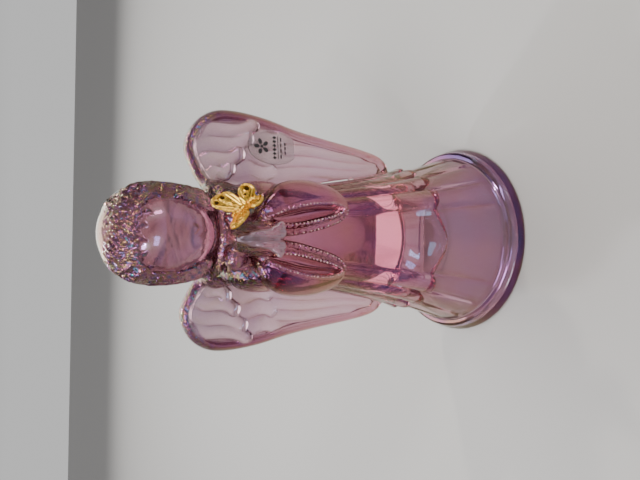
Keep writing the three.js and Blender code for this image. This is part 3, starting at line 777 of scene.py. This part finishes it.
def surface_net(values):
    """Vertices (in grid steps) and outward quads of the zero surface of a grid of values."""
    inside = values < 0
    last = np.array(inside.shape) - 1
    counts = sum(
        inside[tuple(slice(start, end + start) for start, end in zip(corner, last))].astype(np.int8)
        for corner in CORNERS
    )
    cells = np.argwhere((counts > 0) & (counts < 8))
    total = np.zeros(cells.shape)
    hits = np.zeros(len(cells))
    for a, b in CELL_EDGES:
        va = values[tuple((cells + CORNERS[a]).T)]
        vb = values[tuple((cells + CORNERS[b]).T)]
        crossing = (va < 0) != (vb < 0)
        t = np.where(crossing, va / np.where(crossing, va - vb, 1), 0)
        total += crossing[:, None] * (CORNERS[a] + t[:, None] * (CORNERS[b] - CORNERS[a]))
        hits += crossing
    vertices = cells + total / hits[:, None]
    number = np.full(counts.shape, -1, np.int32)
    number[tuple(cells.T)] = np.arange(len(cells))
    quads = []
    for axis in range(3):
        u, v = [other for other in range(3) if other != axis]
        low, high = [slice(1, -1)] * 3, [slice(1, -1)] * 3
        low[axis], high[axis] = slice(0, -1), slice(1, None)
        first, second = inside[tuple(low)], inside[tuple(high)]
        edges = np.argwhere(first != second)
        leaves = first[tuple(edges.T)]
        edges[:, [u, v]] += 1
        ring = []
        for du, dv in ((-1, -1), (0, -1), (0, 0), (-1, 0)):
            cell = edges.copy()
            cell[:, u] += du
            cell[:, v] += dv
            ring.append(number[tuple(cell.T)])
        quad = np.stack(ring, axis=1)
        flip = leaves if axis == 1 else ~leaves
        quad[flip] = quad[flip][:, ::-1]
        quads.append(quad)
    return vertices, np.vstack(quads)


def settle(points, field, reach):
    """Moves points onto the field's zero surface by a few Newton steps."""
    small = 0.02
    for _ in range(3):
        x, y, z = points.T
        value = field(x, y, z)
        slope = np.stack([
            field(x + small, y, z) - field(x - small, y, z),
            field(x, y + small, z) - field(x, y - small, z),
            field(x, y, z + small) - field(x, y, z - small),
        ], axis=1) / (2 * small)
        steepness = np.maximum((slope**2).sum(axis=1), 0.15)
        move = -value[:, None] * slope / steepness[:, None]
        length = np.linalg.norm(move, axis=1, keepdims=True)
        points = points + move * np.minimum(1, reach / np.maximum(length, 1e-9))
    return points


BLOCK = 6


def sample(field, low, high, step):
    """Field values on a grid, worked out finely only in the blocks that the surface may cross."""
    low = np.array(low, float) - 2 * step
    blocks = np.ceil((np.array(high) + 2 * step - low) / (BLOCK * step)).astype(int)
    centre = [low[a] + (np.arange(blocks[a]) + 0.5) * BLOCK * step for a in range(3)]
    coarse = field(*(c.ravel() for c in np.meshgrid(*centre, indexing="ij"))).reshape(blocks)
    near = np.argwhere(np.abs(coarse) < BLOCK * step * 1.3)
    values = np.repeat(np.repeat(np.repeat(coarse, BLOCK, 0), BLOCK, 1), BLOCK, 2)
    inner = np.stack(np.meshgrid(*[np.arange(BLOCK)] * 3, indexing="ij"), axis=-1).reshape(-1, 3)
    cells = (near[:, None] * BLOCK + inner).reshape(-1, 3)
    values[tuple(cells.T)] = field(*(low + cells * step).T)
    return low, values


def mesh_of_field(field, low, high, step):
    corner, values = sample(field, low, high, step)
    vertices, quads = surface_net(values)
    return settle(corner + vertices * step, field, 0.35 * step), quads


def object_from(name, points, faces, placement=None):
    mesh = bpy.data.meshes.new(name)
    mesh.from_pydata((points * MM).tolist(), [], [list(face) for face in faces])
    mesh.validate()
    mesh.polygons.foreach_set("use_smooth", [True] * len(mesh.polygons))
    if placement is not None:
        mesh.transform(placement)
    piece = bpy.data.objects.new(name, mesh)
    bpy.context.collection.objects.link(piece)
    return piece


# ---------------------------------------------------------------- materials
class Nodes:
    """A small helper for building a material's nodes."""

    def __init__(self, name):
        self.material = bpy.data.materials.new(name)
        self.material.use_nodes = True
        self.tree = self.material.node_tree
        self.shader = self.tree.nodes["Principled BSDF"]
        self.output = self.tree.nodes["Material Output"]

    def add(self, kind, values=None, **settings):
        node = self.tree.nodes.new(kind)
        for key, value in settings.items():
            setattr(node, key, value)
        for key, value in (values or {}).items():
            node.inputs[key].default_value = value
        return node

    def link(self, source, target):
        self.tree.links.new(source, target)

    def object_place(self):
        return self.add("ShaderNodeTexCoord").outputs["Object"]

    def noise(self, place, scale, detail=2, roughness=0.5):
        settings = {"Scale": scale, "Detail": detail, "Roughness": roughness}
        texture = self.add("ShaderNodeTexNoise", settings)
        self.link(place, texture.inputs["Vector"])
        return texture.outputs["Fac"]

    def spread(self, value, low, high, start=0.0, end=1.0):
        """Maps a value between start and end to one between low and high."""
        limits = {"From Min": start, "From Max": end, "To Min": low, "To Max": high}
        node = self.add("ShaderNodeMapRange", limits)
        self.link(value, node.inputs["Value"])
        return node.outputs["Result"]

    def share(self, name):
        return self.add("ShaderNodeAttribute", attribute_name=name).outputs["Fac"]

    def mix(self, factor, first, second):
        """Mixes two colours, each given as three numbers or as a node's output."""
        node = self.add("ShaderNodeMixRGB")
        self.link(factor, node.inputs["Fac"])
        for colour, socket in ((first, node.inputs["Color1"]), (second, node.inputs["Color2"])):
            if isinstance(colour, tuple):
                socket.default_value = (*colour, 1)
            else:
                self.link(colour, socket)
        return node.outputs["Color"]

    def ramp(self, factor, start, first, end, second):
        node = self.add("ShaderNodeValToRGB")
        for element, place, colour in zip(node.color_ramp.elements, (start, end), (first, second)):
            element.position = place
            element.color = (*colour, 1)
        self.link(factor, node.inputs["Fac"])
        return node.outputs["Color"]

    def bump(self, height, strength, distance):
        node = self.add("ShaderNodeBump", {"Distance": distance})
        if isinstance(strength, float):
            node.inputs["Strength"].default_value = strength
        else:
            self.link(strength, node.inputs["Strength"])
        self.link(height, node.inputs["Height"])
        self.link(node.outputs["Normal"], self.shader.inputs["Normal"])

    def multiply_add(self, value, factor, offset):
        node = self.add("ShaderNodeMath", operation="MULTIPLY_ADD")
        for given, socket in zip((value, factor, offset), node.inputs):
            if isinstance(given, (int, float)):
                socket.default_value = given
            else:
                self.link(given, socket)
        return node.outputs["Value"]

    def set(self, **inputs):
        """Sets or links the shader's inputs; an underscore stands for a space."""
        for name, given in inputs.items():
            socket = self.shader.inputs[name.replace("_", " ")]
            if isinstance(given, bpy.types.NodeSocket):
                self.link(given, socket)
            else:
                socket.default_value = (*given, 1) if isinstance(given, tuple) else given


PALE_PINK = (0.85, 0.70, 0.77)
# Painted shade colour for the glass at its silhouettes.
EDGE_SHADE_PINK = (0.42, 0.20, 0.30)
# Painted shade colours for the glass's rims, hollows and creases: rose low down, plum high up.
LOW_SHADE_ROSE = (0.50, 0.07, 0.15)
HIGH_SHADE_PLUM = (0.055, 0.012, 0.038)
FILM_RANGE_NM = (275, 320)
FOOT_FILM_NM = 18
RAINBOW_NM = (-60, 50)


def glass_material():
    nodes = Nodes("iridised_glass")
    place = nodes.object_place()
    split = nodes.add("ShaderNodeSeparateXYZ")
    nodes.link(place, split.inputs["Vector"])
    height = split.outputs["Z"]
    crinkle_share = nodes.share("crinkle")
    satin = nodes.share("frost")
    film = nodes.spread(nodes.noise(place, 32, 3, 0.6), *FILM_RANGE_NM, 0.3, 0.7)
    foot_film = nodes.spread(height, FOOT_FILM_NM, 0, 0.005, 0.020)
    base_film = nodes.add("ShaderNodeMath", operation="ADD")
    nodes.link(film, base_film.inputs[0])
    nodes.link(foot_film, base_film.inputs[1])
    rainbow = nodes.spread(nodes.noise(place, 600, 1), *RAINBOW_NM, 0.3, 0.7)
    combed = nodes.add("ShaderNodeMapping", {"Scale": (1, 1, 0.45)})
    nodes.link(place, combed.inputs["Vector"])
    ripple = nodes.noise(combed.outputs["Vector"], 900, 2, 0.55)
    nodes.bump(ripple, nodes.spread(crinkle_share, 0.03, 1.0), 0.0005)
    # Painted shade at the silhouettes: the glass colour darkens where the surface turns away from the
    # view.
    slant = nodes.add("ShaderNodeLayerWeight", {"Blend": 0.35})
    edge_shaded_tint = nodes.mix(slant.outputs["Facing"], PALE_PINK, EDGE_SHADE_PINK)
    # Colour of the painted shade: rose low on the figure, deep plum higher up. The painted-shade share
    # mixes it into the glass colour.
    painted_shade_colour = nodes.ramp(height, 0.05, LOW_SHADE_ROSE, 0.13, HIGH_SHADE_PLUM)
    haze = nodes.spread(crinkle_share, 0.03, 0.05)
    nodes.set(
        Base_Color=nodes.mix(nodes.share("painted_shade"), edge_shaded_tint, painted_shade_colour),
        Roughness=nodes.multiply_add(satin, 0.2, haze),
        IOR=1.5,
        Transmission_Weight=1,
        Thin_Film_IOR=1.8,
        Thin_Film_Thickness=nodes.multiply_add(rainbow, crinkle_share, base_film.outputs["Value"]),
        Coat_Weight=satin,
        Coat_IOR=2.6,
        Coat_Roughness=0.32,
        Coat_Tint=(1.0, 0.70, 0.80),
    )
    depth = nodes.add("ShaderNodeVolumeAbsorption", {"Color": (0.63, 0.24, 0.34, 1), "Density": 44})
    nodes.link(depth.outputs["Volume"], nodes.output.inputs["Volume"])
    return nodes.material


def bead_material():
    nodes = Nodes("bead_glass")
    shimmer = nodes.noise(nodes.object_place(), 600, 1)
    colour = nodes.ramp(shimmer, 0.35, (0.28, 0.12, 0.20), 0.65, (0.72, 0.48, 0.44))
    nodes.set(Base_Color=colour, Roughness=0.12, IOR=1.9, Metallic=0.35, Coat_Weight=1)
    return nodes.material


def gilt_material():
    nodes = Nodes("gilt_metal")
    place = nodes.object_place()
    patina = nodes.noise(place, 420, 4, 0.6)
    gilding = nodes.ramp(patina, 0.3, (0.50, 0.25, 0.025), 0.62, (0.98, 0.60, 0.10))
    # Darkened by tarnish in the relief's hollows and by painted shade on the wings' undersides.
    colour = nodes.mix(nodes.share("tarnish_and_shade"), gilding, (0.10, 0.045, 0.008))
    nodes.set(Base_Color=colour, Metallic=1, Roughness=nodes.spread(patina, 0.16, 0.34))
    nodes.bump(nodes.noise(place, 2600, 2, 0.6), 0.35, 0.0002)
    return nodes.material


def clear_material(name, colour, roughness, ior, film_thickness=0):
    nodes = Nodes(name)
    haze = nodes.noise(nodes.object_place(), 260, 3, 0.55)
    nodes.set(
        Base_Color=nodes.mix(haze, colour, tuple(0.9 * c for c in colour)),
        Roughness=nodes.spread(haze, roughness * 0.6, roughness * 1.4),
        IOR=ior,
        Transmission_Weight=1,
        Thin_Film_Thickness=film_thickness,
    )
    return nodes.material


def ink_material():
    nodes = Nodes("black_ink")
    uneven = nodes.noise(nodes.object_place(), 900)
    nodes.set(Base_Color=nodes.mix(uneven, (0.008, 0.007, 0.009), (0.03, 0.026, 0.03)), Roughness=0.45)
    return nodes.material


def floor_material():
    nodes = Nodes("pale_floor")
    nodes.set(Base_Color=(0.41, 0.397, 0.38), Roughness=0.6)
    return nodes.material


# ---------------------------------------------------------------- pieces
GLASS_NODES = [
    "foot_ring", "skirt", "robe", "front_panel", "torso", "left_sleeve", "right_sleeve", "left_hand",
    "right_hand", "collar", "neck", "head", "hair", "left_wing", "right_wing",
]


# Boxes that the meshes are worked out in, as a lower and an upper corner.
CASTING_BOX = ((-58, -51, 0), (58, 51, 185.5))
CHARM_BOX = ((-12, -9, -1.2), (11, 11, 11.5))
GLUE_BOX = ((-4.5, -4.5, -4.5), (4.5, 4.5, 1.5))


def finish_piece(piece, material, nodes):
    piece.data.materials.append(material)
    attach(piece, "root")
    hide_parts(*nodes)


def paint(piece, name, values):
    """Stores one value for each vertex, for the materials to read."""
    attribute = piece.data.attributes.new(name, "FLOAT", "POINT")
    attribute.data.foreach_set("value", values)


def make_casting():
    points, quads = mesh_of_field(casting_field, *CASTING_BOX, CASTING_STEP)
    casting = object_from("glass_casting", points, quads)
    # The second of these shares is painted shade, which darkens the glass colour; the others set bumps,
    # roughness and coat.
    for name, share in (("crinkle", crinkle), ("painted_shade", painted_shade), ("frost", frost)):
        paint(casting, name, share(*points.T))
    finish_piece(casting, glass_material(), GLASS_NODES)


def make_beads():
    unit, unit_faces = unit_ball()
    points, faces = [], []
    for number, centre in enumerate(bead_centres()):
        points.append(centre + unit * BEAD_RADIUS)
        faces += [[number * len(unit) + i for i in face] for face in unit_faces]
    beads = object_from("trim_beads", np.vstack(points), faces)
    finish_piece(beads, bead_material(), ("left_sleeve", "right_sleeve"))


def make_charm():
    points, quads = mesh_of_field(charm_field, *CHARM_BOX, CHARM_STEP)
    charm = object_from("butterfly_charm", points, quads, charm_place())
    paint(charm, "tarnish_and_shade", charm_tarnish_and_shade(*points.T))
    finish_piece(charm, gilt_material(), ("butterfly_charm",))


def make_glue():
    points, quads = mesh_of_field(glue_field, *GLUE_BOX, 2 * CHARM_STEP)
    glue = object_from("glue_bead", points, quads, charm_place())
    clear_glue = clear_material("clear_glue", (0.93, 0.90, 0.84), 0.06, 1.45)
    finish_piece(glue, clear_glue, ("charm_glue",))


def make_label():
    points, faces = plate_mesh(label_outline(), 0, FILM_THICKNESS)
    film = object_from("label_film", points, faces)
    clear_film = clear_material("clear_film", (0.86, 0.87, 0.85), 0.22, 1.4, 380)
    finish_piece(film, clear_film, ("label_film",))
    points, faces = [], []
    for shape in label_print():
        start = sum(len(p) for p in points)
        shape_points, shape_faces = plate_mesh(shape, -PRINT_THICKNESS, PRINT_THICKNESS - 0.01)
        points.append(shape_points)
        faces += [[start + i for i in face] for face in shape_faces]
    print_piece = object_from("label_print", np.vstack(points), faces)
    finish_piece(print_piece, ink_material(), ("label_film",))


def make_stage():
    bpy.ops.mesh.primitive_plane_add(size=12, location=(0, 0, 0))
    floor = bpy.context.object
    floor.name = "floor"
    floor.data.materials.append(floor_material())


def area_light(name, place, target, size, power, colour=(1, 1, 1)):
    data = bpy.data.lights.new(name, "AREA")
    data.shape = "RECTANGLE"
    data.size, data.size_y = size
    data.energy = power
    data.color = colour
    light = bpy.data.objects.new(name, data)
    bpy.context.collection.objects.link(light)
    aim = Vector(target) - Vector(place)
    light.matrix_world = Matrix.Translation(place) @ aim.to_track_quat("-Z", "Y").to_matrix().to_4x4()


def make_world():
    """Pale near the horizon and darker overhead, so that the soft lights show in the glass."""
    world = bpy.data.worlds.new("studio")
    world.use_nodes = True
    tree = world.node_tree
    place = tree.nodes.new("ShaderNodeTexCoord")
    split = tree.nodes.new("ShaderNodeSeparateXYZ")
    tree.links.new(place.outputs["Generated"], split.inputs["Vector"])
    ramp = tree.nodes.new("ShaderNodeValToRGB")
    ramp.color_ramp.elements[0].position = 0.06
    ramp.color_ramp.elements[0].color = (0.62, 0.62, 0.62, 1)
    ramp.color_ramp.elements[1].position = 0.45
    ramp.color_ramp.elements[1].color = (0.09, 0.09, 0.10, 1)
    tree.links.new(split.outputs["Z"], ramp.inputs["Fac"])
    tree.links.new(ramp.outputs["Color"], tree.nodes["Background"].inputs["Color"])
    bpy.context.scene.world = world


def broad_daylight():
    """A very soft light from above that evens out the floor."""
    sun = bpy.data.lights.new("daylight", "SUN")
    sun.energy = 0.9
    sun.angle = math.radians(70)
    daylight = bpy.data.objects.new("daylight", sun)
    daylight.rotation_euler = (math.radians(-25), math.radians(-15), 0)
    bpy.context.collection.objects.link(daylight)


def make_lights():
    """Broad lights for the form, a wide one behind to show through the glass, and small glints."""
    centre = (0, 0, 0.09)
    area_light("key", (-0.40, -0.30, 0.75), centre, (0.30, 0.30), 5)
    broad_daylight()
    area_light("fill", (0.7, -0.4, 0.5), centre, (0.15, 0.6), 3)
    area_light("window", (-0.30, -0.95, 0.50), centre, (0.45, 0.22), 2)
    area_light("glint_left", (-0.30, -0.45, 0.65), centre, (0.03, 0.03), 1.2)
    area_light("glint_right", (0.35, 0.25, 0.80), centre, (0.04, 0.04), 2.0, (1.0, 0.93, 0.82))
    area_light("glint_back", (-0.25, 0.45, 0.75), centre, (0.04, 0.04), 2.0, (0.90, 0.93, 1.0))
    area_light("back", (0.0, 1.3, 0.95), (0, 0, 0.12), (2.2, 1.0), 26)


make_camera()
make_stage()
make_lights()
make_world()
make_casting()
make_beads()
make_charm()
make_glue()
make_label()
